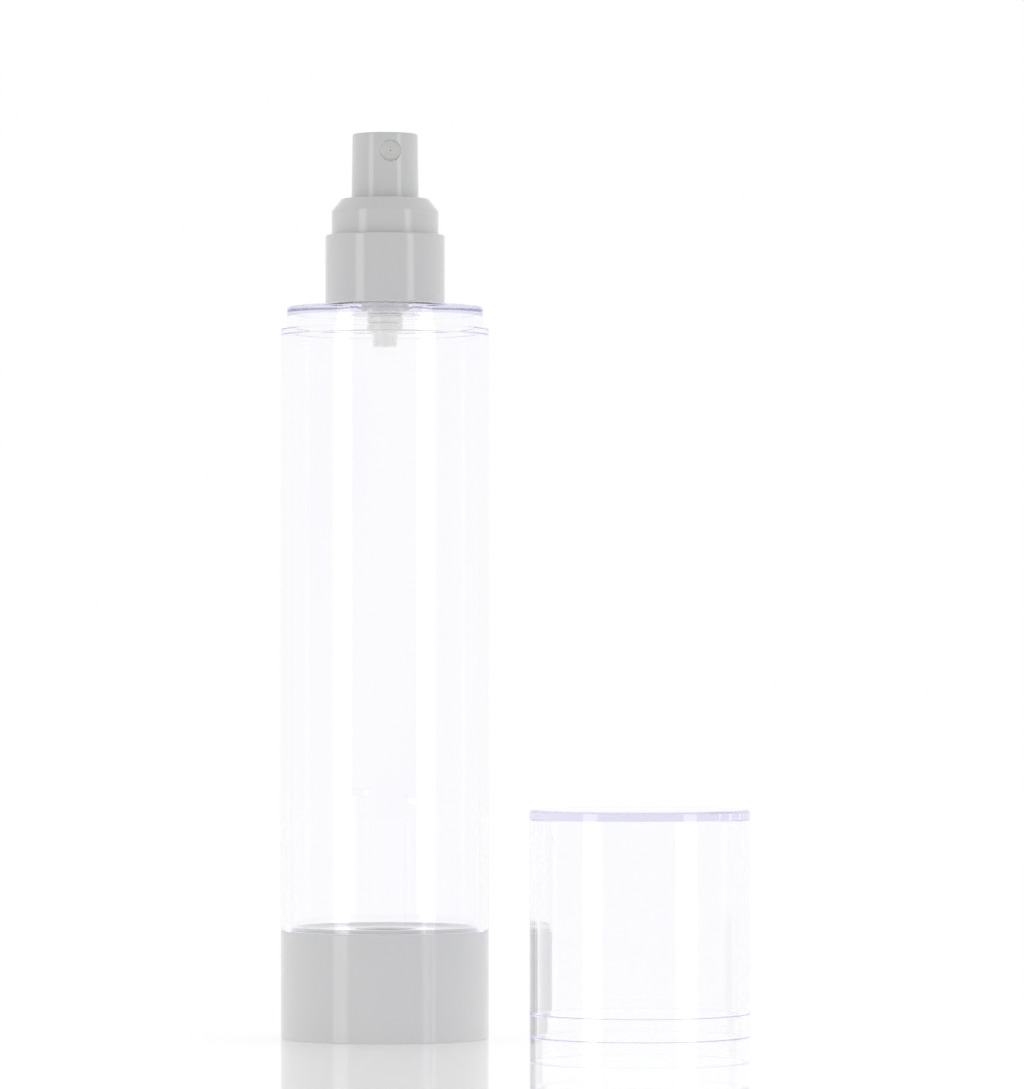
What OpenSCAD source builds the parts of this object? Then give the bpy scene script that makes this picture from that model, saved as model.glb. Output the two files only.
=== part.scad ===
// Airless pump bottle. A clear barrel holds the product above a follower
// piston that rises as the barrel empties, so no air gets in. A mist pump is
// snapped on the neck, a white cup closes the foot, and a clear overcap stands
// beside the bottle, taken off.
// The bottle's axis is the Z axis and it stands on z = 0. The spray leaves
// towards -Y, turned a little to +X. All sizes are in millimetres.

/* [Bottle] */
// Outer diameter of the barrel, the base cup and the overcap
body_d = 40; // [37:0.5:50]
// Height of the clear barrel between the base cup and the neck ledge
barrel_h = 115.65; // [60:0.05:150]
// Wall of the barrel
body_wall = 1.9; // [1.7:0.05:2.6]
// Width of the ledge on which the overcap's rim stands
neck_step = 1.15; // [0.9:0.05:1.5]
// Height of the neck above the ledge
neck_h = 4.2; // [3.6:0.1:6]
// Wall of the neck
neck_wall = 1.65; // [1.2:0.05:2.4]
// Thickness of the plate that closes the neck
plate_t = 1.65; // [1.2:0.05:2.2]
// How far the bore's upper step lies below the ledge
step_drop = 1.1; // [0.6:0.1:3]
// Radius of the plate's outer edge
neck_edge = 0.5; // [0.2:0.05:0.8]
// Height of the spigot that carries the pump, above the plate
spigot_h = 9.5; // [8:0.1:13]
// Wall of the spigot
spigot_wall = 2.35; // [1.6:0.05:2.6]

/* [Base cup] */
// Height of the cup
base_h = 20.65; // [16:0.05:30]
// Wall of the cup around the barrel's skirt
base_wall = 0.85; // [0.6:0.05:0.95]
// Thickness of the cup's floor
base_floor = 1.5; // [1:0.1:2.5]
// Height of the foot ring under the floor
foot_h = 1; // [0.6:0.1:2]
// Width of the foot ring
foot_w = 2.5; // [1.5:0.1:5]
// Radius of the foot's outer edge
foot_edge = 0.5; // [0.2:0.05:0.9]
// Diameter of the air vent in the floor
vent_d = 3; // [2:0.1:5]
// Height of the ring on which the follower piston parks
rest_h = 5.5; // [3:0.1:8]
// Number of radial ribs in the floor
base_ribs = 6; // [3:1:10]

/* [Follower piston] */
// Height over both lips
follower_h = 13.5; // [10:0.5:17]
// Wall of the piston
follower_wall = 1.2; // [0.8:0.1:1.6]
// How far the top face lies below the upper lip
follower_dip = 1.05; // [0.5:0.05:2]
// Diameter of the well that takes the pump's inlet
well_d = 11.6; // [9:0.2:16]
// Depth of the well
well_depth = 6.5; // [5:0.1:8]
// Number of ribs under the top face
follower_ribs = 6; // [3:1:10]

/* [Overcap] */
// Height of the overcap
cap_h = 45.7; // [42:0.1:60]
// Wall of the overcap
cap_wall = 1.8; // [1.6:0.1:2.6]
// Thickness of the overcap's top
cap_top_t = 1.65; // [1.2:0.05:2.6]
// Height of the thinner band above the rim's recess
cap_band_h = 4.13; // [2:0.01:8]
// Place of the overcap beside the bottle, to the right
cap_x = 47.6; // [44:0.1:80]
// Place of the overcap beside the bottle, in depth
cap_y = -69; // [-90:0.5:-50]

/* [Actuator and collars] */
// Diameter of the actuator at its top
actuator_d = 12.6; // [12.4:0.1:14]
// Height of the actuator above the upper collar
actuator_show = 12.5; // [10:0.1:16]
// Diameter of the nozzle insert's seat
nozzle_d = 4.04; // [3.6:0.02:4.6]
// Distance of the nozzle's axis below the actuator's top
nozzle_drop = 3.55; // [3.2:0.05:4.6]
// Turn of the nozzle about the axis, from -Y towards +X, in degrees
nozzle_turn = 11; // [-180:1:180]
// How far the upper collar stands out from the actuator
turret_reach = 3.8; // [3.6:0.05:5]
// Height of the upper collar's chamfer
turret_chamfer_h = 2.4; // [1.5:0.1:3]
// Width of the upper collar's chamfer
turret_chamfer_w = 1.93; // [1:0.01:2.2]
// How far the lower collar stands out from the upper one
collar_step = 1.2; // [0.6:0.1:2.5]
// Thickness of the lower collar's top
collar_top_t = 1.3; // [0.9:0.1:2.5]
// Gap between the lower collar and the bottle's plate
collar_lift = 0.6; // [0.3:0.1:2]

/* [Pump] */
// Stroke of the actuator
stroke = 4.5; // [3:0.1:5.5]
// Share of the stroke that opens the outlet before the pump piston moves
valve_lead = 0.12; // [0.06:0.01:0.2]
// Bore of the pump's barrel
pump_bore = 7.8; // [7.2:0.1:8.4]
// Wall of the pump's barrel
pump_wall = 0.7; // [0.5:0.05:0.9]
// Thickness of the flanges that the lower collar clamps
flange_t = 1; // [0.7:0.1:1.6]
// Thickness of the neck gasket
gasket_t = 1; // [0.6:0.1:2]
// Diameter of the stem
stem_d = 4; // [3.6:0.1:4.4]
// Bore of the stem
stem_bore = 2; // [1.6:0.1:2.4]
// Diameter of the inlet ball
ball_d = 3.2; // [2.6:0.1:3.8]
// Lift of the inlet ball off its seat
ball_lift = 0.8; // [0.4:0.1:1.2]
// Length of the inlet nozzle under the pump's tail
inlet_len = 3; // [2:0.1:4]
// Wire of the return spring
spring_wire = 0.55; // [0.4:0.05:0.6]
// Turns of the return spring
spring_turns = 8; // [5:1:9]

/* [Hidden] */

// Clearances: between snapped pieces, between sliding pieces, and at a stop
fit_gap = 0.05;
slide_gap = 0.05;
stem_gap = 0.1;
stop_gap = 0.3;
// Overlap of a cutting tool past the face that it cuts
eps = 0.5;
// Height and reach of a snap bead
bead_h = 0.7;
bead_out = 0.2;
turn_fn = 96;

// Bottle
body_r = body_d / 2;
bore_r = body_r - body_wall;
ledge_z = base_h + barrel_h;
step_z = ledge_z - step_drop;
neck_r = body_r - neck_step;
neck_in_r = neck_r - neck_wall;
plate_top = ledge_z + neck_h;
plate_under = plate_top - plate_t;
barrel_edge = 0.25;
neck_root = 0.15;

// Base cup and the barrel's skirt in it
base_in_r = body_r - base_wall;
skirt_r = base_in_r - fit_gap;
floor_top = foot_h + base_floor;
skirt_end = floor_top + 0.5;
base_bead_z = skirt_end + (base_h - skirt_end) / 3;
rest_w = 1.4;
rest_r = bore_r - 0.9;
rib_t = 1;
rib_h = 3;
rib_from = 4;

// Follower piston
follower_low = floor_top + rest_h;
follower_top = follower_low + follower_h;
follower_face = follower_top - follower_dip;
follower_r = bore_r - slide_gap;
follower_body_r = bore_r - 0.9;
lip_h = 2.6;
lip_root = 0.8;
lip_t = 0.85;
well_r = well_d / 2;
well_floor = follower_face - well_depth;
follower_rib_h = 5;

// Pump, from the plate upwards
pump_r = pump_bore / 2;
barrel_out_r = pump_r + pump_wall;
port_r = barrel_out_r + 0.75;
spigot_r = port_r + spigot_wall;
spigot_top = plate_top + spigot_h;
spigot_bead_z = spigot_top - spigot_h / 3;
flange_r = spigot_r - 0.1;
gasket_top = spigot_top + gasket_t;
housing_flange_top = gasket_top + flange_t;
clamp_z = housing_flange_top + flange_t;
barrel_rise = 3.4;
barrel_top = housing_flange_top + barrel_rise;
chaplet_t = 1;
chaplet_top = barrel_top + chaplet_t;
chaplet_in_r = barrel_out_r + fit_gap;
chaplet_r = chaplet_in_r + 0.5;
stem_r = stem_d / 2;
stem_hole_r = stem_r + stem_gap;

// Inlet at the foot of the pump
ball_r = ball_d / 2;
inlet_bore_r = 1;
tail_z = plate_under - 3.05;
inlet_tip = tail_z - inlet_len;
seat_low = tail_z + 0.1;
cage_r = ball_r + 0.6;
tail_r = cage_r + 1.27;
inlet_r = 2.45;
inlet_tip_r = 2.35;
ball_rest_gap = 0.03;
ball_z = seat_low + ball_r * sqrt(2) - inlet_bore_r + ball_rest_gap;
cage_lip_r = ball_r - 0.25;
cage_lip_z = ball_z + ball_lift + sqrt(pow(ball_r, 2) - pow(cage_lip_r, 2)) + ball_rest_gap;
spring_low = cage_lip_z + 1;
barrel_floor = spring_low - 0.95;
tail_ring_w = 0.3;
tail_ring_in = 0.15;

// Pump piston, valve rod and stem
piston_h = 3.6;
piston_top = barrel_top - slide_gap;
piston_low = piston_top - piston_h;
piston_lip_h = 0.75;
piston_body_r = pump_r - 0.6;
seat_t = 0.6;
seat_r = stem_bore / 2 + 0.45;
valve_gap = 0.05;
rod_r = stem_bore / 2 - 0.03;
rod_flange_r = pump_r - 0.5;
rod_flange_t = 0.8;
rod_flange_top = piston_low - 0.6;
rod_flange_low = rod_flange_top - rod_flange_t;
rod_top_in = 5;
guide_len = 3;
flute_r = 0.4;
flutes = 3;
stem_low = piston_low + seat_t + stroke * valve_lead + stop_gap;

// Return spring
wire_r = spring_wire / 2;
spring_r = rod_flange_r - 0.55;
guide_r = spring_r - wire_r - 0.25;
spring_seat_gap = 0.02;
spring_from = spring_low + wire_r + spring_seat_gap;
spring_to = rod_flange_low - wire_r - spring_seat_gap;
spring_rings = 8;
wire_sides = 6;

// Collars and actuator
collar_bottom = plate_top + collar_lift;
collar_top = clamp_z + collar_top_t;
actuator_taper = 0.2;
actuator_r = actuator_d / 2;
actuator_low_r = actuator_r + actuator_taper;
turret_gap = 0.2;
turret_hole_r = actuator_low_r + turret_gap;
turret_r = actuator_low_r + turret_reach;
turret_wall = 1.25;
turret_roof = 1.4;
turret_in_r = turret_r - turret_wall;
upstand_r = turret_in_r - fit_gap;
upstand_wall = 1.3;
upstand_h = 3;
upstand_bead_z = collar_top + upstand_h / 2;
collar_r = turret_r + collar_step;
collar_wall = 1.2;
collar_edge = 0.35;
grip_wall = 1.1;
grip_low = collar_bottom + 1.5;
actuator_low = collar_top + stroke + stop_gap;
skirt_in = 2.2;
turret_top = actuator_low + skirt_in;
actuator_top = turret_top + actuator_show;
actuator_edge = 0.9;
actuator_dish = 0.5;
dish_edge = 1.3;
hollow_r = chaplet_r + 0.2;
boss_r = stem_r + 1.4;
boss_low = chaplet_top + stroke + stop_gap;
nozzle_r = nozzle_d / 2;
nozzle_z = actuator_top - nozzle_drop;
hollow_top = nozzle_z - nozzle_r - 1.2;
stem_top = nozzle_z - nozzle_r - 1.6;
socket_r = stem_r + slide_gap;
channel_r = 0.9;

// Nozzle seat, as distances from the actuator's axis
insert_face = actuator_r - 0.3;
insert_wall = 0.7;
insert_back = insert_face - 3.35;
seat_floor = insert_back - 0.5;
insert_r = nozzle_r - 0.04;
post_r = 1.05;
insert_bore_r = post_r + 0.25;
post_end = insert_face - insert_wall - 0.1;
orifice_r = 0.2;
face_cone_r = 0.8;
feed_r = 0.45;
feed_drop = nozzle_r - feed_r - 0.04;

// Overcap
cap_in_r = body_r - cap_wall;
cap_recess_r = neck_r + 0.15;
cap_recess_h = neck_h + 0.38;
cap_band_r = (cap_in_r + cap_recess_r) / 2;
cap_band_top = cap_recess_h + cap_band_h;
cap_edge = 0.5;
rim_edge = 0.2;
gate_r = 0.5;
gate_h = 0.4;

// Points of an arc about [x, z], from one angle to another
function arc(x, z, r, from, to, steps = 5) =
    [for (i = [0:steps]) let (a = from + (to - from) * i / steps) [x + r * cos(a), z + r * sin(a)]];

// Outline of a snap bead on a wall of radius r, read upwards: out > 0 stands
// proud of an outer wall, and on an inner wall it is the groove for that bead
function bead(r, z, out = bead_out) =
    [[r, z - bead_h / 2 - out], [r + out, z - bead_h / 2], [r + out, z + bead_h / 2],
     [r, z + bead_h / 2 + out]];

// The same outline read downwards
function bead_down(r, z, out = bead_out) = let (b = bead(r, z, out)) [for (i = [3:-1:0]) b[i]];

module lathe(outline) {
    rotate_extrude($fn = turn_fn) polygon(outline);
}

module disc(r, low, high) {
    translate([0, 0, low]) cylinder(r = r, h = high - low, $fn = turn_fn);
}

// A cylinder that lies along the spray's direction, from one distance to another
module spray_cylinder(r, from, to, z) {
    rotate([0, 0, nozzle_turn])
        translate([0, -from, z])
            rotate([90, 0, 0])
                cylinder(r = r, h = to - from, $fn = turn_fn);
}

// Radial ribs between two radii
module ribs(count, from, to, low, high) {
    for (i = [0:count - 1])
        rotate([0, 0, i * 360 / count])
            translate([from, -rib_t / 2, low])
                cube([to - from, rib_t, high - low]);
}

// Clear barrel with its neck, its plate and the spigot for the pump
module bottle() {
    color([0.93, 0.93, 0.98, 0.35])
        lathe(concat(
            [[bore_r, skirt_end], [bore_r, step_z], [neck_in_r, step_z],
             [neck_in_r, plate_under], [port_r, plate_under], [port_r, spigot_top],
             [spigot_r - barrel_edge, spigot_top], [spigot_r, spigot_top - barrel_edge]],
            bead_down(spigot_r, spigot_bead_z),
            [[spigot_r, plate_top]],
            arc(neck_r - neck_edge, plate_top - neck_edge, neck_edge, 90, 0),
            arc(neck_r + neck_root, ledge_z + neck_root, neck_root, 180, 270),
            arc(body_r - barrel_edge, ledge_z - barrel_edge, barrel_edge, 90, 0),
            [[body_r, base_h], [skirt_r, base_h]],
            bead_down(skirt_r, base_bead_z),
            [[skirt_r, skirt_end + barrel_edge], [skirt_r - barrel_edge, skirt_end]]));
}

// White cup that closes the barrel's foot, with an air vent and a ring on
// which the follower piston parks
module base_cup() {
    color([0.8, 0.8, 0.81])
        difference() {
            union() {
                lathe(concat(
                    [[0, foot_h], [body_r - foot_w, foot_h], [body_r - foot_w, 0]],
                    arc(body_r - foot_edge, foot_edge, foot_edge, -90, 0),
                    [[body_r, base_h], [base_in_r, base_h]],
                    bead_down(base_in_r, base_bead_z),
                    [[base_in_r, floor_top], [0, floor_top]]));
                lathe([[rest_r - rest_w, floor_top - base_floor / 2],
                       [rest_r, floor_top - base_floor / 2],
                       [rest_r, follower_low], [rest_r - rest_w, follower_low]]);
                ribs(base_ribs, rib_from, rest_r - rest_w / 2,
                     floor_top - base_floor / 2, floor_top + rib_h);
            }
            disc(vent_d / 2, foot_h - eps, floor_top + eps);
        }
}

// Piston that rises under the product: two thin lips seal on the barrel's
// bore, and a well in its top face takes the pump's inlet at the end
module follower_piston() {
    color([0.86, 0.86, 0.87])
        union() {
            lathe([[0, well_floor], [well_r, well_floor], [well_r, follower_face],
                   [follower_body_r - lip_t, follower_face], [follower_r - lip_t, follower_top],
                   [follower_r - lip_t / 3, follower_top],
                   [follower_r, follower_top - lip_t], [follower_r, follower_top - lip_t * 2],
                   [follower_body_r, follower_top - lip_h - lip_root],
                   [follower_body_r, follower_low + lip_h + lip_root],
                   [follower_r, follower_low + lip_t * 2], [follower_r, follower_low + lip_t],
                   [follower_r - lip_t / 3, follower_low],
                   [follower_body_r - follower_wall, follower_low],
                   [follower_body_r - follower_wall, follower_face - follower_wall],
                   [well_r + follower_wall, follower_face - follower_wall],
                   [well_r + follower_wall, well_floor - follower_wall],
                   [0, well_floor - follower_wall]]);
            ribs(follower_ribs, well_r + follower_wall / 2, follower_body_r - follower_wall / 2,
                 follower_face - follower_wall - follower_rib_h,
                 follower_face - follower_wall / 2);
        }
}

// Clear overcap, standing on its rim beside the bottle
module cap() {
    color([0.93, 0.93, 0.98, 0.35])
        translate([cap_x, cap_y, 0])
            lathe(concat(
                [[0, cap_h - cap_top_t - gate_h], [gate_r, cap_h - cap_top_t - gate_h],
                 [gate_r, cap_h - cap_top_t], [cap_in_r, cap_h - cap_top_t],
                 [cap_in_r, cap_band_top], [cap_band_r, cap_band_top],
                 [cap_band_r, cap_recess_h], [cap_recess_r, cap_recess_h],
                 [cap_recess_r, rim_edge], [cap_recess_r + rim_edge, 0],
                 [body_r - rim_edge, 0], [body_r, rim_edge]],
                arc(body_r - cap_edge, cap_h - cap_edge, cap_edge, 0, 90),
                [[0, cap_h]]));
}

// Lower collar: its inner skirt snaps on the spigot and clamps the pump's
// flanges, and its outer wall covers them
module snap_collar() {
    grip_r = spigot_r + fit_gap;
    color([0.78, 0.78, 0.79])
        lathe(concat(
            [[chaplet_r + slide_gap, clamp_z], [grip_r, clamp_z]],
            bead_down(grip_r, spigot_bead_z),
            [[grip_r, grip_low], [grip_r + grip_wall, grip_low],
             [grip_r + grip_wall, clamp_z], [collar_r - collar_wall, clamp_z],
             [collar_r - collar_wall, collar_bottom], [collar_r, collar_bottom]],
            arc(collar_r - collar_edge, collar_top - collar_edge, collar_edge, 0, 90),
            [[upstand_r, collar_top]],
            bead(upstand_r, upstand_bead_z),
            [[upstand_r, collar_top + upstand_h],
             [upstand_r - upstand_wall, collar_top + upstand_h],
             [upstand_r - upstand_wall, collar_top], [chaplet_r + slide_gap, collar_top]]));
}

// Upper collar: a chamfered ring that guides the actuator and snaps on the
// lower collar's upstand
module turret_ring() {
    roof_low = turret_top - turret_roof;
    color([0.8, 0.8, 0.81])
        lathe(concat(
            [[turret_hole_r, turret_top - turret_gap], [turret_hole_r, roof_low],
             [turret_in_r - turret_chamfer_w, roof_low],
             [turret_in_r, turret_top - turret_chamfer_h - turret_roof / 2]],
            bead_down(turret_in_r, upstand_bead_z),
            [[turret_in_r, collar_top], [turret_r, collar_top],
             [turret_r, turret_top - turret_chamfer_h],
             [turret_r - turret_chamfer_w, turret_top],
             [turret_hole_r + turret_gap, turret_top]]));
}

// Flat seal between the spigot and the pump's flange
module neck_gasket() {
    color([0.9, 0.9, 0.9])
        lathe([[port_r + 0.25, spigot_top], [flange_r, spigot_top],
               [flange_r, gasket_top], [port_r + 0.25, gasket_top]]);
}

// Body of the pump: flange, barrel, ball cage and inlet
module pump_housing() {
    tail_rings = [tail_z + 1.4, barrel_floor - 0.45];
    color([0.88, 0.89, 0.9])
        difference() {
            lathe([[inlet_bore_r, inlet_tip], [inlet_tip_r, inlet_tip], [inlet_r, tail_z],
                   [tail_r - barrel_edge, tail_z], [tail_r, tail_z + barrel_edge],
                   [tail_r, barrel_floor], [barrel_out_r - barrel_edge, barrel_floor],
                   [barrel_out_r, barrel_floor + barrel_edge],
                   [barrel_out_r, spigot_top - 2], [port_r - slide_gap, spigot_top - 1.5],
                   [port_r - slide_gap, gasket_top], [flange_r, gasket_top],
                   [flange_r, housing_flange_top], [barrel_out_r, housing_flange_top],
                   [barrel_out_r, barrel_top], [pump_r, barrel_top], [pump_r, spring_low],
                   [cage_lip_r, spring_low], [cage_lip_r, cage_lip_z], [cage_r, cage_lip_z],
                   [cage_r, seat_low + cage_r - inlet_bore_r], [inlet_bore_r, seat_low]]);
            for (z = tail_rings)
                lathe([[tail_r - tail_ring_in, z], [tail_r + eps, z],
                       [tail_r + eps, z + tail_ring_w], [tail_r - tail_ring_in, z + tail_ring_w]]);
        }
}

// Chaplet: the hat that keeps the pump piston in the barrel and guides the stem
module chaplet() {
    color([0.85, 0.85, 0.86])
        lathe([[chaplet_in_r, housing_flange_top], [flange_r, housing_flange_top],
               [flange_r, clamp_z], [chaplet_r, clamp_z], [chaplet_r, chaplet_top - barrel_edge],
               [chaplet_r - barrel_edge, chaplet_top], [stem_hole_r, chaplet_top],
               [stem_hole_r, barrel_top], [chaplet_in_r, barrel_top]]);
}

// Hollow stem that carries the actuator and leads the product up to it
module stem() {
    color([0.85, 0.85, 0.86])
        lathe([[stem_bore / 2, stem_low], [stem_r, stem_low],
               [stem_r, stem_top - barrel_edge], [stem_r - barrel_edge, stem_top],
               [stem_bore / 2, stem_top]]);
}

// Valve rod: its cone closes the pump piston from below, its flange takes the
// spring, and its fluted shank is pressed into the stem
module valve_rod() {
    cone_r = seat_r - valve_gap;
    color([0.9, 0.88, 0.84])
        difference() {
            lathe([[0, rod_flange_low - guide_len], [guide_r - barrel_edge, rod_flange_low - guide_len],
                   [guide_r, rod_flange_low - guide_len + barrel_edge * 2], [guide_r, rod_flange_low],
                   [rod_flange_r, rod_flange_low], [rod_flange_r, rod_flange_top],
                   [cone_r + piston_low - rod_flange_top, rod_flange_top],
                   [rod_r, piston_low + cone_r - rod_r],
                   [rod_r, stem_low + rod_top_in], [0, stem_low + rod_top_in]]);
            for (i = [0:flutes - 1])
                rotate([0, 0, i * 360 / flutes])
                    translate([rod_r, 0, piston_low + seat_t])
                        cylinder(r = flute_r, h = stem_low + rod_top_in, $fn = 24);
        }
}

// Pump piston: slides on the stem and seals on the pump's barrel
module pump_piston() {
    run_r = pump_r - slide_gap;
    lip_in = piston_low + piston_lip_h;
    color([0.92, 0.92, 0.93])
        lathe([[seat_r, piston_low], [run_r, piston_low], [run_r, lip_in],
               [piston_body_r, lip_in + piston_lip_h / 2],
               [piston_body_r, piston_top - piston_lip_h * 1.5],
               [run_r, piston_top - piston_lip_h], [run_r, piston_top],
               [stem_r + slide_gap, piston_top], [stem_r + slide_gap, piston_low + seat_t],
               [seat_r, piston_low + seat_t]]);
}

// Centre line of the return spring, as a share of its turns
function spring_point(s) =
    let (a = s * spring_turns * 360)
    [spring_r * cos(a), spring_r * sin(a), spring_from + (spring_to - spring_from) * s];

// One ring of the wire, square to the turn's direction in plan
function wire_ring(s) =
    let (a = s * spring_turns * 360, c = spring_point(s))
    [for (i = [0:wire_sides - 1])
        let (b = i * 360 / wire_sides)
        [c[0] + wire_r * cos(b) * cos(a), c[1] + wire_r * cos(b) * sin(a), c[2] + wire_r * sin(b)]];

spring_steps = spring_turns * spring_rings;
curl_gap = (spring_to - spring_from) / spring_turns - spring_wire;
echo(least_gap_between_curls = curl_gap);

module return_spring() {
    points = [for (k = [0:spring_steps]) each wire_ring(k / spring_steps)];
    last = spring_steps * wire_sides;
    sides = [for (k = [0:spring_steps - 1], i = [0:wire_sides - 1])
        let (j = (i + 1) % wire_sides, a = k * wire_sides, b = a + wire_sides)
        each [[a + i, b + i, b + j], [a + i, b + j, a + j]]];
    ends = [for (i = [1:wire_sides - 2]) each [[0, i, i + 1], [last, last + i + 1, last + i]]];
    color([0.75, 0.76, 0.78])
        polyhedron(points = points, faces = concat(sides, ends));
}

// Ball that closes the inlet when the pump is pressed
module inlet_ball() {
    color([0.75, 0.76, 0.78])
        translate([0, 0, ball_z]) sphere(r = ball_r, $fn = 48);
}

// Actuator: outer shell, socket for the stem, channel and seat of the nozzle
module actuator() {
    dish_r = actuator_r - dish_edge;
    color([0.78, 0.78, 0.79])
        union() {
            difference() {
                lathe(concat(
                    [[0, actuator_low], [actuator_low_r, actuator_low]],
                    arc(actuator_r - actuator_edge, actuator_top - actuator_edge, actuator_edge, 0, 90),
                    [for (i = [0:6]) let (r = dish_r * (1 - i / 6))
                        [r, actuator_top - actuator_dish * (1 - pow(r / dish_r, 2))]]));
                difference() {
                    disc(hollow_r, actuator_low - eps, hollow_top);
                    disc(boss_r, boss_low, hollow_top + eps);
                }
                disc(socket_r, boss_low - eps, stem_top + slide_gap);
                disc(channel_r, stem_top, nozzle_z - feed_drop + feed_r);
                spray_cylinder(feed_r, 0, seat_floor + eps, nozzle_z - feed_drop);
                spray_cylinder(nozzle_r, seat_floor, actuator_r + eps, nozzle_z);
            }
            spray_cylinder(post_r, seat_floor - eps, post_end, nozzle_z);
        }
}

// Nozzle insert: a small cup pressed over the post, with the spray orifice
module nozzle_insert() {
    color([0.84, 0.84, 0.85])
        difference() {
            spray_cylinder(insert_r, insert_back, insert_face, nozzle_z);
            spray_cylinder(insert_bore_r, insert_back - eps, insert_face - insert_wall, nozzle_z);
            spray_cylinder(orifice_r, insert_back, insert_face + eps, nozzle_z);
            rotate([0, 0, nozzle_turn])
                translate([0, -(insert_face - insert_wall / 2), nozzle_z])
                    rotate([90, 0, 0])
                        cylinder(r1 = orifice_r, r2 = face_cone_r * 2, h = insert_wall, $fn = turn_fn);
        }
}

bottle();
base_cup();
follower_piston();
cap();
snap_collar();
turret_ring();
neck_gasket();
pump_housing();
chaplet();
stem();
valve_rod();
pump_piston();
return_spring();
inlet_ball();
actuator();
nozzle_insert();
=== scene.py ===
# %% [markdown]
# An airless pump bottle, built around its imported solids. The barrel and the
# overcap are clear moulded plastic, the pump head, the cup at the foot and the
# piston are white. The frame comes first: it says where every piece lies, so
# each size below is read from it or written down once as a real size.

# %% Load the frame
import math

import bmesh
import bpy
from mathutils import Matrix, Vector


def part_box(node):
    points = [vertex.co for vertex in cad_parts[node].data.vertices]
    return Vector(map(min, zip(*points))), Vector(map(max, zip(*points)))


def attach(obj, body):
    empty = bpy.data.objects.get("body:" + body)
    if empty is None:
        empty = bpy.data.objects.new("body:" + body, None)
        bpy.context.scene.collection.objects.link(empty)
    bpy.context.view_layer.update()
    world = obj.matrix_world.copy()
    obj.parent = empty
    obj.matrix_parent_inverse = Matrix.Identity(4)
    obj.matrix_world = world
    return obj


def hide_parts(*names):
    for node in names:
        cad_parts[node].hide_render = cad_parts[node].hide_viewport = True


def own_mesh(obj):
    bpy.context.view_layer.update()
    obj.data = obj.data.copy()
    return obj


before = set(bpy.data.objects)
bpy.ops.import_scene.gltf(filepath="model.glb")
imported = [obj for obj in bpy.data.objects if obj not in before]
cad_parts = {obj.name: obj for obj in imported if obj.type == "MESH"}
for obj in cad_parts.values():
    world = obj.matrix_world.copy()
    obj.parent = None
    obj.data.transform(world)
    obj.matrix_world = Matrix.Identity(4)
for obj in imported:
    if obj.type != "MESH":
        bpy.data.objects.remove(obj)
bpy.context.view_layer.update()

MM = 0.001

# %% [markdown]
# The camera stands where the photographer stood. The bottle's horizontal edges
# look straight near the level of the eye and curve more and more away from it,
# which gives the eye's height and, with the curve's depth, the distance. The
# lens could be shifted to keep the uprights parallel, but at this distance a
# tilt of less than a degree does the same and stays a plain camera.

# %% Camera
PHOTO_W, PHOTO_H = 1024, 1089
FOCAL_PX = 6484
EYE_LEVEL_PX = 635
BOTTLE_AXIS_PX = 385
CAMERA_DISTANCE = 1.247
EYE_HEIGHT = 0.0774
SENSOR_MM = 36
FAR_CLIP = 20


def make_camera():
    camera = bpy.data.objects.new("camera", bpy.data.cameras.new("camera"))
    bpy.context.scene.collection.objects.link(camera)
    camera.data.sensor_width = SENSOR_MM
    camera.data.lens = SENSOR_MM * FOCAL_PX / PHOTO_H
    camera.data.clip_end = FAR_CLIP
    side = (PHOTO_W / 2 - BOTTLE_AXIS_PX) * CAMERA_DISTANCE / FOCAL_PX
    camera.location = (side, -CAMERA_DISTANCE, EYE_HEIGHT)
    tilt = math.atan((EYE_LEVEL_PX - PHOTO_H / 2) / FOCAL_PX)
    camera.rotation_euler = (math.pi / 2 + tilt, 0, 0)
    bpy.context.scene.camera = camera
    return camera


camera = make_camera()
camera_tilt = math.degrees(camera.rotation_euler.x) - 90
print("lens:", round(camera.data.lens, 1), "mm, tilt:", round(camera_tilt, 2), "degrees")

# %% [markdown]
# Nearly every piece of a bottle is turned about one axis, so one helper makes
# them all: an outline of corners in the (radius, height) plane, each corner
# with its own rounding, spun into a mesh. A screw modifier would do the same
# from a curve, but plain vertices let a pole be one point and keep the faces
# even. Rounded corners matter more than anything else here, because on clear
# and on glossy plastic the light draws the edges. A mould maker knows only a
# few kinds of edge, so the roundings have names, from keen to broad, and are
# given in millimetres. A piece with an edge of its own names it in its cell.

# %% Outline helpers
ROUND_STEP = math.radians(12)
ROUND_STEPS_MIN = 2
REACH_SHARE = 0.49
POLE_R = 1e-6
SHARP = 0
KEEN = 0.05
CRISP = 0.1
FINE = 0.15
SOFT = 0.2
EASY = 0.25
FULL = 0.3
WIDE = 0.4
BROAD = 0.5


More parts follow.
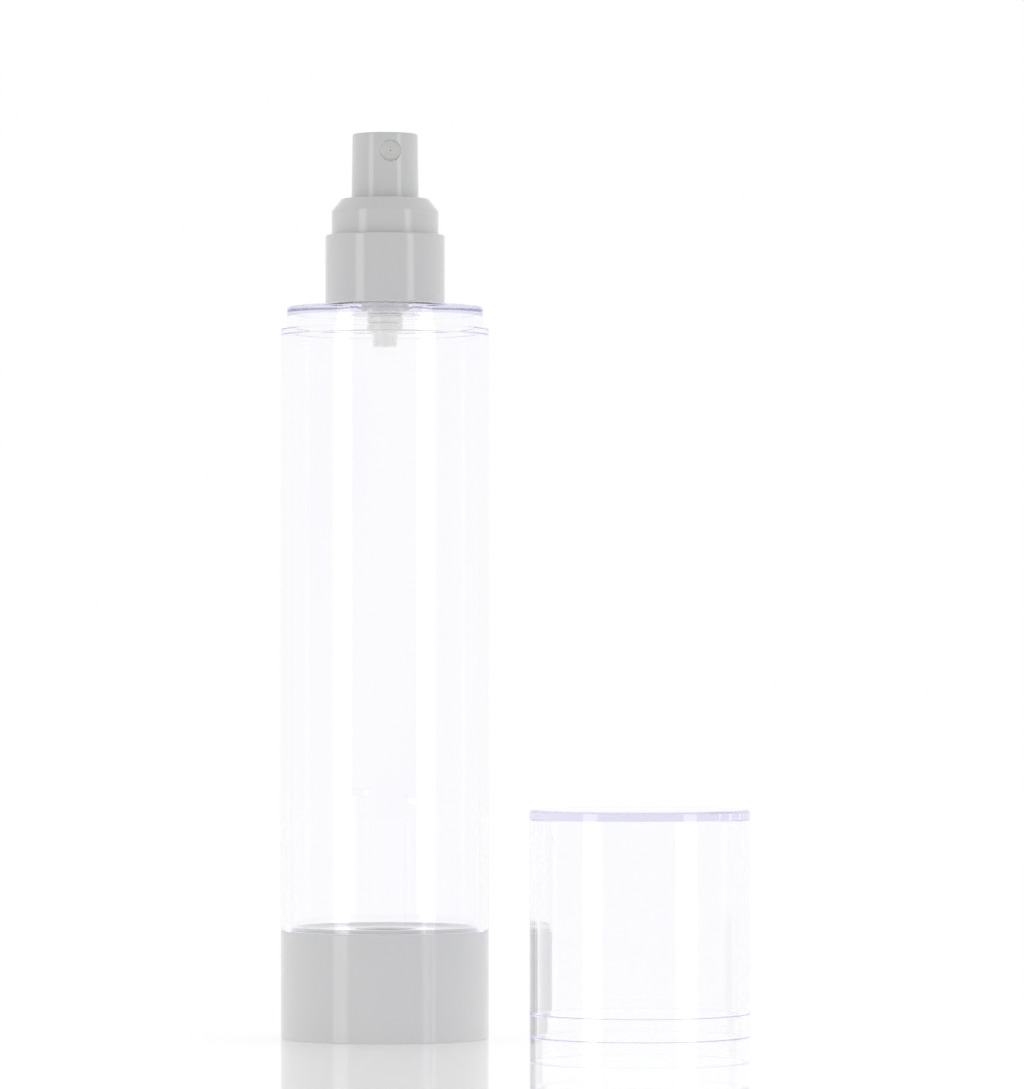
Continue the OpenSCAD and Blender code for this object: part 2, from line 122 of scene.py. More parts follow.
def rounded(corners, closed):
    """Outline points from corners of (radius, height, rounding), all in millimetres."""
    points = []
    count = len(corners)
    for i, (r, z, size) in enumerate(corners):
        here = Vector((r, z))
        at_end = not closed and i in (0, count - 1)
        if size <= 0 or at_end:
            points.append(here)
            continue
        before = Vector(corners[i - 1][:2]) - here
        after = Vector(corners[(i + 1) % count][:2]) - here
        half = before.angle(after) / 2
        reach = size / math.tan(half)
        reach = min(reach, before.length * REACH_SHARE, after.length * REACH_SHARE)
        size = reach * math.tan(half)
        before.normalize()
        after.normalize()
        centre = here + (before + after).normalized() * (size / math.sin(half))
        start = here + before * reach - centre
        end = here + after * reach - centre
        turn = start.angle_signed(end)
        steps = max(ROUND_STEPS_MIN, math.ceil(abs(turn) / ROUND_STEP))
        for k in range(steps + 1):
            a = -turn * k / steps
            arm = Vector((start.x * math.cos(a) - start.y * math.sin(a),
                          start.x * math.sin(a) + start.y * math.cos(a)))
            points.append(centre + arm)
    return points


def spin(points, closed, segments):
    """Vertices and faces of an outline spun about the Z axis."""
    verts, rings, faces = [], [], []
    for p in points:
        if p.x < POLE_R:
            rings.append([len(verts)])
            verts.append((0, 0, p.y * MM))
            continue
        rings.append(list(range(len(verts), len(verts) + segments)))
        for k in range(segments):
            a = 2 * math.pi * k / segments
            verts.append((p.x * MM * math.cos(a), p.x * MM * math.sin(a), p.y * MM))
    pairs = list(zip(rings, rings[1:])) + ([(rings[-1], rings[0])] if closed else [])
    for low, high in pairs:
        for k in range(segments):
            n = (k + 1) % segments
            ring = [low[k % len(low)], low[n % len(low)], high[n % len(high)], high[k % len(high)]]
            face = list(dict.fromkeys(ring))
            if len(face) > 2:
                faces.append(face)
    return verts, faces


print("rounding step:", round(math.degrees(ROUND_STEP)), "degrees")

# %% [markdown]
# The mesh is then finished like a moulded part: normals pointing out of the
# solid, which clear plastic needs to bend light the right way, and smooth
# shading that stops at real edges. Normals weighted by area keep a flat face
# flat right up to its rounded edge. Light that is turned back many times inside
# a clear wall shows every facet, so the clear pieces get far more of them.

# %% Mesh helpers
SEGMENTS = 192
CLEAR_SEGMENTS = 480
ACTUATOR_SEGMENTS = 256
SMALL_SEGMENTS = 96
SHARP_ANGLE = math.radians(32)
WELD = 1e-7


def shade_with_edges(piece):
    piece.data.shade_smooth()
    piece.data.set_sharp_from_angle(angle=SHARP_ANGLE)


def finish_mesh(piece):
    mesh = bmesh.new()
    mesh.from_mesh(piece.data)
    bmesh.ops.remove_doubles(mesh, verts=mesh.verts, dist=WELD)
    bmesh.ops.recalc_face_normals(mesh, faces=mesh.faces)
    mesh.to_mesh(piece.data)
    mesh.free()
    shade_with_edges(piece)
    weighted = piece.modifiers.new("weighted_normals", "WEIGHTED_NORMAL")
    weighted.keep_sharp = True
    return piece


def piece_from(name, verts, faces):
    mesh = bpy.data.meshes.new(name)
    mesh.from_pydata(verts, [], faces)
    mesh.update()
    piece = bpy.data.objects.new(name, mesh)
    bpy.context.scene.collection.objects.link(piece)
    return piece


def lathe(name, corners, closed=True, segments=SEGMENTS):
    verts, faces = spin(rounded(corners, closed), closed, segments)
    return finish_mesh(piece_from(name, verts, faces))


def apply_modifiers(piece):
    graph = bpy.context.evaluated_depsgraph_get()
    baked = bpy.data.meshes.new_from_object(piece.evaluated_get(graph))
    piece.modifiers.clear()
    piece.data = baked


print("segments:", CLEAR_SEGMENTS, "clear,", SEGMENTS, "white,", SMALL_SEGMENTS, "small")

# %% [markdown]
# Every piece rides on the body that moves it and stands for the solids that it
# replaces, so that one scene looks right at every pose. The sizes that the
# solids already have are read from their boxes.

# %% Frame helpers
def place(piece, body, slot, *nodes):
    """Rides on its body and stands for its CAD nodes; the slot is not used."""
    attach(piece, body)
    if nodes:
        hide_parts(*nodes)
    print(piece.name, "rides on", body, "with", len(piece.data.vertices), "vertices")


def node_top(node):
    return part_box(node)[1].z / MM


def node_low(node):
    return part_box(node)[0].z / MM


def node_radius(node):
    low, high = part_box(node)
    return (high.x - low.x) / 2 / MM


print("bottle radius:", round(node_radius("bottle"), 1), "mm")

# %% [markdown]
# Materials are small trees of nodes. A few helpers keep them short: one writes
# a plain value or links a socket, the others add one node each and give back
# what it puts out.

# %% Node helpers
NOISE_LOW, NOISE_HIGH = 0.3, 0.7


def feed(tree, value, socket):
    """Links another node's output, or writes a plain value."""
    if isinstance(value, bpy.types.NodeSocket):
        tree.links.new(value, socket)
    else:
        socket.default_value = value


def noise(tree, vector, scale=1.0, detail=3.0, rough=0.5):
    node = tree.nodes.new("ShaderNodeTexNoise")
    node.inputs["Scale"].default_value = scale
    node.inputs["Detail"].default_value = detail
    node.inputs["Roughness"].default_value = rough
    tree.links.new(vector, node.inputs["Vector"])
    return node.outputs["Fac"]


def stretch(tree, vector, scale):
    node = tree.nodes.new("ShaderNodeMapping")
    node.inputs["Scale"].default_value = scale
    tree.links.new(vector, node.inputs["Vector"])
    return node.outputs["Vector"]


def spread(tree, value, low, high):
    """Maps a noise value from its useful range to low ... high."""
    node = tree.nodes.new("ShaderNodeMapRange")
    node.inputs["From Min"].default_value = NOISE_LOW
    node.inputs["From Max"].default_value = NOISE_HIGH
    feed(tree, low, node.inputs["To Min"])
    feed(tree, high, node.inputs["To Max"])
    tree.links.new(value, node.inputs["Value"])
    return node.outputs["Result"]


def math_node(tree, kind, a, b):
    node = tree.nodes.new("ShaderNodeMath")
    node.operation = kind
    feed(tree, a, node.inputs[0])
    feed(tree, b, node.inputs[1])
    return node.outputs["Value"]


def mixed(tree, factor, a, b, kind="RGBA"):
    """A colour or a plain value between a and b."""
    node = tree.nodes.new("ShaderNodeMix")
    node.data_type = kind
    tree.links.new(factor, node.inputs["Factor"])
    feed(tree, a, node.inputs["A"])
    feed(tree, b, node.inputs["B"])
    return node.outputs["Result"]


def object_place(tree):
    """The object's own coordinates, so that nothing slides when the view changes."""
    return tree.nodes.new("ShaderNodeTexCoord").outputs["Object"]


print("noise is used from", NOISE_LOW, "to", NOISE_HIGH)

# %% [markdown]
# Moulded plastic is never one even colour. The melt leaves faint flow marks,
# the polished steel mould leaves a skin that is not quite even, and handling
# takes the shine down in places. One group holds these effects, and each
# material places it with its own strength.

# %% Shared surface group
FLOW_STRETCH = (60, 60, 18)
SMUDGE_STRETCH = (220, 220, 90)
RIPPLE_SCALE = 130.0
PEEL_SCALE = 2600.0
PEEL_SHARE = 0.06


def new_group(name, inputs, outputs):
    tree = bpy.data.node_groups.new(name, "ShaderNodeTree")
    for label, kind, value in inputs:
        socket = tree.interface.new_socket(name=label, in_out="INPUT", socket_type=kind)
        socket.default_value = value
    for label, kind in outputs:
        tree.interface.new_socket(name=label, in_out="OUTPUT", socket_type=kind)
    entry = tree.nodes.new("NodeGroupInput").outputs
    leave = tree.nodes.new("NodeGroupOutput").inputs
    return tree, entry, leave


def moulded_skin_group():
    tree, entry, leave = new_group(
        "moulded_skin",
        [("Colour", "NodeSocketColor", (0.6, 0.6, 0.6, 1)),
         ("Flow Colour", "NodeSocketColor", (0.55, 0.55, 0.55, 1)),
         ("Gloss", "NodeSocketFloat", 0.15),
         ("Handling", "NodeSocketFloat", 0.05)],
        [("Colour", "NodeSocketColor"),
         ("Roughness", "NodeSocketFloat"),
         ("Height", "NodeSocketFloat")])
    where = object_place(tree)
    flow = spread(tree, noise(tree, stretch(tree, where, FLOW_STRETCH), detail=2.0), 0.0, 1.0)
    tree.links.new(mixed(tree, flow, entry["Colour"], entry["Flow Colour"]), leave["Colour"])
    smudge = noise(tree, stretch(tree, where, SMUDGE_STRETCH), detail=4.0, rough=0.6)
    worn = math_node(tree, "ADD", entry["Gloss"], entry["Handling"])
    tree.links.new(spread(tree, smudge, entry["Gloss"], worn), leave["Roughness"])
    ripple = noise(tree, where, RIPPLE_SCALE, detail=1.0)
    peel = noise(tree, where, PEEL_SCALE, detail=2.0)
    height = math_node(tree, "ADD", ripple, math_node(tree, "MULTIPLY", peel, PEEL_SHARE))
    tree.links.new(height, leave["Height"])
    return tree


skin = moulded_skin_group()
outputs = [item.name for item in skin.interface.items_tree if item.in_out == "OUTPUT"]
print("group:", skin.name, "outputs:", ", ".join(outputs))

# %% [markdown]
# A material places the group once and feeds its colour, roughness and height
# to a Principled shader. What is the same all over, such as the index of
# refraction, is set on the shader's own socket.

# %% Material helpers
def new_material(name):
    material = bpy.data.materials.new(name)
    material.use_nodes = True
    tree = material.node_tree
    return material, tree, tree.nodes["Principled BSDF"]


def emboss(tree, shader, height, relief):
    """Raises the surface by a height map, which relief scales to metres."""
    bump = tree.nodes.new("ShaderNodeBump")
    bump.inputs["Distance"].default_value = relief
    tree.links.new(height, bump.inputs["Height"])
    tree.links.new(bump.outputs["Normal"], shader.inputs["Normal"])


def moulded(name, colour, flow_colour, gloss, ior, handling=0.0, relief=0.0):
    """A moulded plastic. With no handling its gloss sits on the shader's own socket."""
    material, tree, shader = new_material(name)
    group = tree.nodes.new("ShaderNodeGroup")
    group.node_tree = skin
    group.inputs["Colour"].default_value = (*colour, 1)
    group.inputs["Flow Colour"].default_value = (*flow_colour, 1)
    group.inputs["Gloss"].default_value = gloss
    group.inputs["Handling"].default_value = handling
    tree.links.new(group.outputs["Colour"], shader.inputs["Base Color"])
    feed(tree, group.outputs["Roughness"] if handling else gloss, shader.inputs["Roughness"])
    if relief:
        emboss(tree, shader, group.outputs["Height"], relief)
    shader.inputs["IOR"].default_value = ior
    return material, tree, shader


def dress(material, *pieces):
    for piece in pieces:
        piece.data.materials.clear()
        piece.data.materials.append(material)


print("every moulded plastic places the group", skin.name)

# %% [markdown]
# The barrel and the overcap are a clear styrene plastic. It bends light
# strongly and takes a little of the red and green out of it, so a thin wall
# looks colourless while the long way through the plate or through an edge
# looks violet. A tinted surface would colour thin and thick alike, so the
# tint is an absorption inside the solid. Light is turned back many times
# between the faces of a plate before it gets out, so the limits on its turns
# are raised: with too few of them such paths end in black lines.

# %% Clear plastic
CLEAR_IOR = 1.57
CLEAR_DENSITY = 10.0
CLEAR_PASSES = (0.30, 0.28, 0.70)
LIGHT_TURNS = 32
DEEP_RAY = 20.5

light_paths = bpy.context.scene.cycles
light_paths.max_bounces = LIGHT_TURNS
light_paths.glossy_bounces = LIGHT_TURNS
light_paths.transmission_bounces = LIGHT_TURNS


def let_lamps_through(tree, shader):
    """Shadow and diffuse rays pass straight through, so the plastic casts no dark shadow.

    So does a ray that was turned back inside the plastic many times: it leaves
    tinted by its long way, instead of ending in the dark."""
    path = tree.nodes.new("ShaderNodeLightPath").outputs
    passing = math_node(tree, "MAXIMUM", path["Is Shadow Ray"], path["Is Diffuse Ray"])
    deep = math_node(tree, "GREATER_THAN", path["Ray Depth"], DEEP_RAY)
    open_air = tree.nodes.new("ShaderNodeBsdfTransparent")
    mix = tree.nodes.new("ShaderNodeMixShader")
    tree.links.new(math_node(tree, "MAXIMUM", passing, deep), mix.inputs["Fac"])
    tree.links.new(shader.outputs["BSDF"], mix.inputs[1])
    tree.links.new(open_air.outputs["BSDF"], mix.inputs[2])
    tree.links.new(mix.outputs["Shader"], tree.nodes["Material Output"].inputs["Surface"])


def clear_material():
    material, tree, shader = moulded("clear_styrene", colour=(1.0, 1.0, 1.0),
                                     flow_colour=(0.99, 0.99, 1.0), gloss=0.0, ior=CLEAR_IOR)
    shader.inputs["Transmission Weight"].default_value = 1.0
    absorption = tree.nodes.new("ShaderNodeVolumeAbsorption")
    absorption.inputs["Color"].default_value = (*CLEAR_PASSES, 1)
    absorption.inputs["Density"].default_value = CLEAR_DENSITY
    tree.links.new(absorption.outputs["Volume"], tree.nodes["Material Output"].inputs["Volume"])
    let_lamps_through(tree, shader)
    return material


clear = clear_material()
print("clear plastic, index", CLEAR_IOR)

# %% [markdown]
# The white pieces are polypropylene from a polished mould: an even, slightly
# cool white with a clean gloss. The follower piston is a softer polyethylene,
# a little brighter, and the nozzle insert comes from a warmer batch. The pump's
# body is polypropylene without pigment. It is milky: nearly all the light that
# enters its walls is scattered back, so a very light colour with only a trace
# of rough transmission looks right, while more of it would show the dark bore.

# %% White and natural plastics
POLYPROPYLENE_IOR = 1.49
POLYETHYLENE_IOR = 1.51
MILKY_TRANSMISSION = 0.06


def white_material():
    return moulded("white_gloss", colour=(0.6, 0.602, 0.609), flow_colour=(0.582, 0.584, 0.592),
                   gloss=0.10, ior=POLYPROPYLENE_IOR, handling=0.04, relief=0.0000006)[0]


def follower_material():
    return moulded("follower_white", colour=(0.72, 0.72, 0.725), flow_colour=(0.69, 0.69, 0.7),
                   gloss=0.10, ior=POLYETHYLENE_IOR, handling=0.05, relief=0.000002)[0]


def insert_material():
    return moulded("insert_white", colour=(0.6, 0.598, 0.59), flow_colour=(0.58, 0.578, 0.57),
                   gloss=0.22, ior=POLYPROPYLENE_IOR, handling=0.06, relief=0.000001)[0]


def natural_material():
    material, _, shader = moulded("natural_polypropylene", colour=(0.93, 0.918, 0.9),
                                  flow_colour=(0.9, 0.888, 0.87), gloss=0.24,
                                  ior=POLYPROPYLENE_IOR, handling=0.08, relief=0.000002)
    shader.inputs["Transmission Weight"].default_value = MILKY_TRANSMISSION
    return material


white = white_material()
follower_white = follower_material()
insert_white = insert_material()
natural = natural_material()
print("plastics:", white.name, follower_white.name, insert_white.name, natural.name)

# %% [markdown]
# Two small pieces are not plastic: the return spring of drawn steel wire and
# the steel ball. The neck gasket is a foamed polyethylene disc with a matt,
# finely pitted face, and its pits are also painted darker where the bump
# sinks: painted shade in the pits.

# %% Steel and seal
WIRE_STRETCH = (900, 900, 5000)
STEEL_DARK, STEEL_LIGHT = (0.52, 0.52, 0.53, 1), (0.66, 0.66, 0.67, 1)
STEEL_GLOSS = (0.16, 0.32)
PIT_SCALE = 3500.0
PIT_DEPTH = 0.00004
FOAM_PIT_SHADE, FOAM_LIGHT = (0.5, 0.5, 0.49, 1), (0.64, 0.64, 0.63, 1)
FOAM_GLOSS = (0.7, 0.9)


def steel_material():
    material, tree, shader = new_material("spring_steel")
    shader.inputs["Metallic"].default_value = 1.0
    drawn = noise(tree, stretch(tree, object_place(tree), WIRE_STRETCH))
    tree.links.new(mixed(tree, drawn, STEEL_DARK, STEEL_LIGHT), shader.inputs["Base Color"])
    tree.links.new(spread(tree, drawn, *STEEL_GLOSS), shader.inputs["Roughness"])
    return material


def seal_material():
    material, tree, shader = new_material("foam_seal")
    pits = noise(tree, object_place(tree), PIT_SCALE, detail=4.0, rough=0.7)
    # The colour follows the pit height, darker where the bump sinks: painted shade in the pits.
    tree.links.new(mixed(tree, pits, FOAM_PIT_SHADE, FOAM_LIGHT), shader.inputs["Base Color"])
    tree.links.new(spread(tree, pits, *FOAM_GLOSS), shader.inputs["Roughness"])
    emboss(tree, shader, pits, PIT_DEPTH)
    return material


steel = steel_material()
seal = seal_material()
print("small materials:", steel.name, seal.name)

# %% [markdown]
# The barrel is one moulding: a tube, a stepped neck, the plate that closes it
# and the spigot that carries the pump. It could be a thin surface with a
# solidify modifier, but the wall changes at every step, so its whole section
# is drawn, inside and outside, as one closed outline.

# %% Barrel
BODY_R = node_radius("bottle")
BASE_H = node_top("base_cup")
SPIGOT_TOP = node_top("bottle")
SKIRT_END = node_low("bottle")
WALL = 1.9
NECK_STEP = 1.15
NECK_WALL = 1.65
NECK_H = 4.2
PLATE_T = 1.65
SPIGOT_H = 9.5
STEP_DROP = 1.1
PORT_R = 5.35
SPIGOT_R = 7.7
SKIRT_R = 19.1
STEP_EDGE = 0.06
PLATE_TOP = SPIGOT_TOP - SPIGOT_H
LEDGE_Z = PLATE_TOP - NECK_H
BORE_R = BODY_R - WALL
NECK_R = BODY_R - NECK_STEP


def barrel_corners():
    step_z = LEDGE_Z - STEP_DROP
    plate_under = PLATE_TOP - PLATE_T
    neck_in = NECK_R - NECK_WALL
    return [(BORE_R, SKIRT_END, SOFT), (BORE_R, step_z, SOFT), (neck_in, step_z, FINE),
            (neck_in, plate_under, FINE), (PORT_R, plate_under, STEP_EDGE),
            (PORT_R, SPIGOT_TOP, FINE), (SPIGOT_R, SPIGOT_TOP, SOFT), (SPIGOT_R, PLATE_TOP, FINE),
            (NECK_R, PLATE_TOP, BROAD), (NECK_R, LEDGE_Z, STEP_EDGE), (BODY_R, LEDGE_Z, CRISP),
            (BODY_R, BASE_H, SOFT), (SKIRT_R, BASE_H, CRISP), (SKIRT_R, SKIRT_END, EASY)]


barrel = lathe("clear_barrel", barrel_corners(), segments=CLEAR_SEGMENTS)
dress(clear, barrel)
place(barrel, "barrel", "clear_styrene", "bottle")

# %% [markdown]
# The cup at the foot is a plain white moulding whose looks lie in its edges:
# a small radius at the foot, a crisp rim where it meets the barrel, and
# below, where nobody looks until the bottle is lifted, the foot ring, the air
# vent and the ribs. The ribs are moulded with the floor, so they are boxes
# with their edges rounded, sunk into it.

# %% Base cup
BASE_IN_R = 19.15
FLOOR_TOP = 2.5
FOOT_H = 1.0
FOOT_IN_R = BODY_R - 2.5
VENT_R = 1.5
REST_R, REST_W = 17.2, 1.4
REST_TOP = node_low("follower_piston")
RIB_COUNT, RIB_T, RIB_TOP, RIB_FROM = 6, 1.0, 5.5, 4.0
RIB_SINK = 0.5
RIB_EDGE_STEPS = 3


def rib_mesh(name, start, end, low, high):
    """Radial ribs from radius start to end, as rounded boxes in one object."""
    mesh = bmesh.new()
    for i in range(RIB_COUNT):
        a = 2 * math.pi * i / RIB_COUNT
        box = bmesh.ops.create_cube(mesh, size=1.0)["verts"]
        for v in box:
            r = (start + (end - start) * (v.co.x + 0.5)) * MM
            side = v.co.y * RIB_T * MM
            z = (low + (high - low) * (v.co.z + 0.5)) * MM
            v.co = (r * math.cos(a) - side * math.sin(a), r * math.sin(a) + side * math.cos(a), z)
    data = bpy.data.meshes.new(name)
    mesh.to_mesh(data)
    mesh.free()
    ribs = bpy.data.objects.new(name, data)
    bpy.context.scene.collection.objects.link(ribs)
    bevel = ribs.modifiers.new("soft_edges", "BEVEL")
    bevel.width = FINE * MM
    bevel.segments = RIB_EDGE_STEPS
    apply_modifiers(ribs)
    shade_with_edges(ribs)
    return ribs


def cup_corners():
    rest_in = REST_R - REST_W
    return [(VENT_R, FOOT_H, SOFT), (FOOT_IN_R, FOOT_H, SOFT), (FOOT_IN_R, 0, SOFT),
            (BODY_R, 0, FULL), (BODY_R, BASE_H, SOFT), (BASE_IN_R, BASE_H, CRISP),
            (BASE_IN_R, FLOOR_TOP, FULL), (REST_R, FLOOR_TOP, SOFT), (REST_R, REST_TOP, FINE),
            (rest_in, REST_TOP, FINE), (rest_in, FLOOR_TOP, FULL), (VENT_R, FLOOR_TOP, SOFT)]


cup = lathe("base_cup_shell", cup_corners())
cup_ribs = rib_mesh("base_cup_ribs", RIB_FROM, REST_R - REST_W / 2, FLOOR_TOP - RIB_SINK, RIB_TOP)
dress(white, cup, cup_ribs)
place(cup, "barrel", "white_gloss", "base_cup")
place(cup_ribs, "barrel", "white_gloss", "base_cup")

# %% [markdown]
# The follower piston is what makes the bottle airless: it climbs as the dose
# is taken from above. Only its upper lip and face show, through the barrel
# just above the cup. Each lip is thin and flared, so that it presses on the
# bore. The outline starts and ends on the axis, so it is an open one.

# %% Follower piston
FOLLOWER_LOW = node_low("follower_piston")
FOLLOWER_TOP = node_top("follower_piston")
FOLLOWER_R = node_radius("follower_piston")
FOLLOWER_BODY_R = BORE_R - 0.9
FOLLOWER_FACE = FOLLOWER_TOP - 0.5
FOLLOWER_WALL = 1.2
FOLLOWER_RIB_H = 5
LIP_T, LIP_H = 0.85, 3.4
LIP_IN_R = FOLLOWER_R - LIP_T
LIP_TIP_R = FOLLOWER_R - LIP_T / 3
WELL_R, WELL_DEPTH = 5.8, 6.5
WELL_EDGE = 0.35


def follower_corners():
    well = FOLLOWER_FACE - WELL_DEPTH
    under = FOLLOWER_FACE - FOLLOWER_WALL
    inner = FOLLOWER_BODY_R - FOLLOWER_WALL
    well_out = WELL_R + FOLLOWER_WALL
    upper_lip = [(FOLLOWER_BODY_R - LIP_T, FOLLOWER_FACE, FULL), (LIP_IN_R, FOLLOWER_TOP, FINE),
                 (LIP_TIP_R, FOLLOWER_TOP, FINE), (FOLLOWER_R, FOLLOWER_TOP - LIP_T, FULL),
                 (FOLLOWER_R, FOLLOWER_TOP - LIP_T * 2, FULL),
                 (FOLLOWER_BODY_R, FOLLOWER_TOP - LIP_H, WIDE)]
    lower_lip = [(FOLLOWER_BODY_R, FOLLOWER_LOW + LIP_H, WIDE),
                 (FOLLOWER_R, FOLLOWER_LOW + LIP_T * 2, FULL),
                 (FOLLOWER_R, FOLLOWER_LOW + LIP_T, FULL), (LIP_TIP_R, FOLLOWER_LOW, CRISP)]
    return ([(0, well, SHARP), (WELL_R, well, BROAD), (WELL_R, FOLLOWER_FACE, WELL_EDGE)]
            + upper_lip + lower_lip
            + [(inner, FOLLOWER_LOW, SOFT), (inner, under, BROAD), (well_out, under, BROAD),
               (well_out, well - FOLLOWER_WALL, WIDE), (0, well - FOLLOWER_WALL, SHARP)])


follower = lathe("follower_shell", follower_corners(), closed=False)
rib_sink = FOLLOWER_WALL / 2
follower_ribs = rib_mesh("follower_ribs", WELL_R + rib_sink, FOLLOWER_BODY_R - rib_sink,
                         FOLLOWER_FACE - FOLLOWER_WALL - FOLLOWER_RIB_H, FOLLOWER_FACE - rib_sink)
dress(follower_white, follower, follower_ribs)
place(follower, "follower", "follower_white", "follower_piston")
place(follower_ribs, "follower", "follower_white", "follower_piston")

# %% [markdown]
# The overcap is one clear cup, shown standing on its rim beside the bottle.
# Inside the rim is a recess that slips over the neck, then a thinner band and
# the full wall: those steps are the violet lines near its foot. The small nub
# under its top is where the plastic entered the mould.

# %% Overcap
CAP_LOW, CAP_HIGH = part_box("cap")
CAP_H = CAP_HIGH.z / MM
CAP_PLACE = Vector(((CAP_LOW.x + CAP_HIGH.x) / 2, (CAP_LOW.y + CAP_HIGH.y) / 2, 0))
CAP_WALL = 1.8
CAP_SLIP = 0.15
CAP_SINK = 0.38
CAP_BAND_H = 4.13
CAP_TOP_T = 1.65
CAP_IN_R = BODY_R - CAP_WALL
CAP_RECESS_R = NECK_R + CAP_SLIP
CAP_RECESS_H = NECK_H + CAP_SINK
CAP_BAND_R = (CAP_IN_R + CAP_RECESS_R) / 2
CAP_BAND_TOP = CAP_RECESS_H + CAP_BAND_H
GATE_R, GATE_H = 0.5, 0.4


def cap_corners():
    under = CAP_H - CAP_TOP_T
    return [(0, under - GATE_H, SHARP), (GATE_R, under - GATE_H, FINE), (GATE_R, under, CRISP),
            (CAP_IN_R, under, FULL), (CAP_IN_R, CAP_BAND_TOP, EASY),
            (CAP_BAND_R, CAP_BAND_TOP, SOFT), (CAP_BAND_R, CAP_RECESS_H, EASY),
            (CAP_RECESS_R, CAP_RECESS_H, SOFT), (CAP_RECESS_R, 0, SOFT), (BODY_R, 0, SOFT),
            (BODY_R, CAP_H, BROAD), (0, CAP_H, SHARP)]


overcap = lathe("clear_overcap", cap_corners(), closed=False, segments=CLEAR_SEGMENTS)
for vertex in overcap.data.vertices:
    vertex.co += CAP_PLACE
dress(clear, overcap)
place(overcap, "overcap", "clear_styrene", "cap")

# %% [markdown]
# Two white collars carry the pump. The lower one clamps it on the neck and
# the upper one, chamfered, guides the actuator. Their outlines are plain, and
# their edges are what catches the light.

# %% Collars
COLLAR_R = node_radius("snap_collar")
COLLAR_LOW = node_low("snap_collar")
UPSTAND_TOP = node_top("snap_collar")
TURRET_LOW = node_low("turret_ring")
TURRET_TOP = node_top("turret_ring")
TURRET_R = node_radius("turret_ring")
PRESS_FIT = 0.05
COLLAR_TOP_T = 1.3
COLLAR_WALL, COLLAR_EDGE = 1.2, 0.35
GRIP_WALL, GRIP_LIFT = 1.1, 1.5
GRIP_R = SPIGOT_R + PRESS_FIT
CHAPLET_R = 5.15
CHAPLET_HOLE = CHAPLET_R + PRESS_FIT
UPSTAND_R, UPSTAND_WALL = 9.0, 1.3
TURRET_IN_R = 9.05
TURRET_HOLE_R = node_radius("actuator") + 0.2
TURRET_TOP_T = 1.4
TURRET_CHAMFER_W, TURRET_CHAMFER_H = 1.93, 2.4
TURRET_CHAMFER_T = 0.7


def collar_corners():
    under = TURRET_LOW - COLLAR_TOP_T
    grip_low = COLLAR_LOW + GRIP_LIFT
    grip_out = GRIP_R + GRIP_WALL
    skirt_in = COLLAR_R - COLLAR_WALL
    upstand_in = UPSTAND_R - UPSTAND_WALL
    return [(CHAPLET_HOLE, under, CRISP), (GRIP_R, under, KEEN), (GRIP_R, grip_low, FINE),
            (grip_out, grip_low, SOFT), (grip_out, under, FULL), (skirt_in, under, FULL),
            (skirt_in, COLLAR_LOW, CRISP), (COLLAR_R, COLLAR_LOW, SOFT),
            (COLLAR_R, TURRET_LOW, COLLAR_EDGE), (UPSTAND_R, TURRET_LOW, SHARP),
            (UPSTAND_R, UPSTAND_TOP, SOFT), (upstand_in, UPSTAND_TOP, SOFT),
            (upstand_in, TURRET_LOW, SOFT), (CHAPLET_HOLE, TURRET_LOW, CRISP)]


def turret_corners():
    under = TURRET_TOP - TURRET_TOP_T
    chamfer_low = TURRET_TOP - TURRET_CHAMFER_H
    return [(TURRET_HOLE_R, TURRET_TOP, SOFT), (TURRET_HOLE_R, under, CRISP),
            (TURRET_IN_R - TURRET_CHAMFER_W, under, SOFT),
            (TURRET_IN_R, chamfer_low - TURRET_CHAMFER_T, FULL), (TURRET_IN_R, TURRET_LOW, KEEN),
            (TURRET_R, TURRET_LOW, CRISP), (TURRET_R, chamfer_low, BROAD),
            (TURRET_R - TURRET_CHAMFER_W, TURRET_TOP, WIDE)]


collar = lathe("lower_collar", collar_corners())
turret = lathe("upper_collar", turret_corners())
dress(white, collar, turret)
place(collar, "barrel", "white_gloss", "snap_collar")
place(turret, "barrel", "white_gloss", "turret_ring")

# %% [markdown]
# The actuator is a turned shape with one thing that isn't: the round seat of
# the nozzle in its front. The seat is cut with a boolean, and because a cut
# leaves odd faces, the body is first given rings close together, so that each
# odd face is too small to show in the gloss.

# %% Actuator
ACTUATOR_LOW = node_low("actuator")
ACTUATOR_TOP = node_top("actuator")
ACTUATOR_LOW_R = node_radius("actuator")
ACTUATOR_R = ACTUATOR_LOW_R - 0.2
ACTUATOR_EDGE = 0.9
SKIN_RINGS = 40
DISH_R, DISH_DEPTH, DISH_EDGE, DISH_STEPS = ACTUATOR_R - 1.3, 0.5, 0.6, 10
NOZZLE_TURN = math.radians(11)
NOZZLE_DROP = 3.55
NOZZLE_R = 2.02
NOZZLE_Z = ACTUATOR_TOP - NOZZLE_DROP
HOLLOW_R, HOLLOW_TOP = 5.35, NOZZLE_Z - NOZZLE_R - 1.2
SOCKET_R, BOSS_R, BOSS_LOW = 2.05, 3.4, 161.2
SOCKET_TOP = node_top("stem") + PRESS_FIT
CHANNEL_R, CHANNEL_TOP = 0.9, NOZZLE_Z - 1.1
INSERT_FACE = ACTUATOR_R - 0.3
INSERT_BACK = INSERT_FACE - 3.35
SEAT_FLOOR = INSERT_BACK - 0.5
SEAT_MOUTH = ACTUATOR_R + 1
SPRAY = Vector((math.sin(NOZZLE_TURN), -math.cos(NOZZLE_TURN), 0))


def actuator_wall():
    """The tapered outside, in rings close together."""
    rise = (ACTUATOR_TOP - ACTUATOR_LOW) / SKIN_RINGS
    narrowing = (ACTUATOR_R - ACTUATOR_LOW_R) / SKIN_RINGS
    return [(ACTUATOR_LOW_R + narrowing * k, ACTUATOR_LOW + rise * k, SHARP)
            for k in range(1, SKIN_RINGS - 1)]


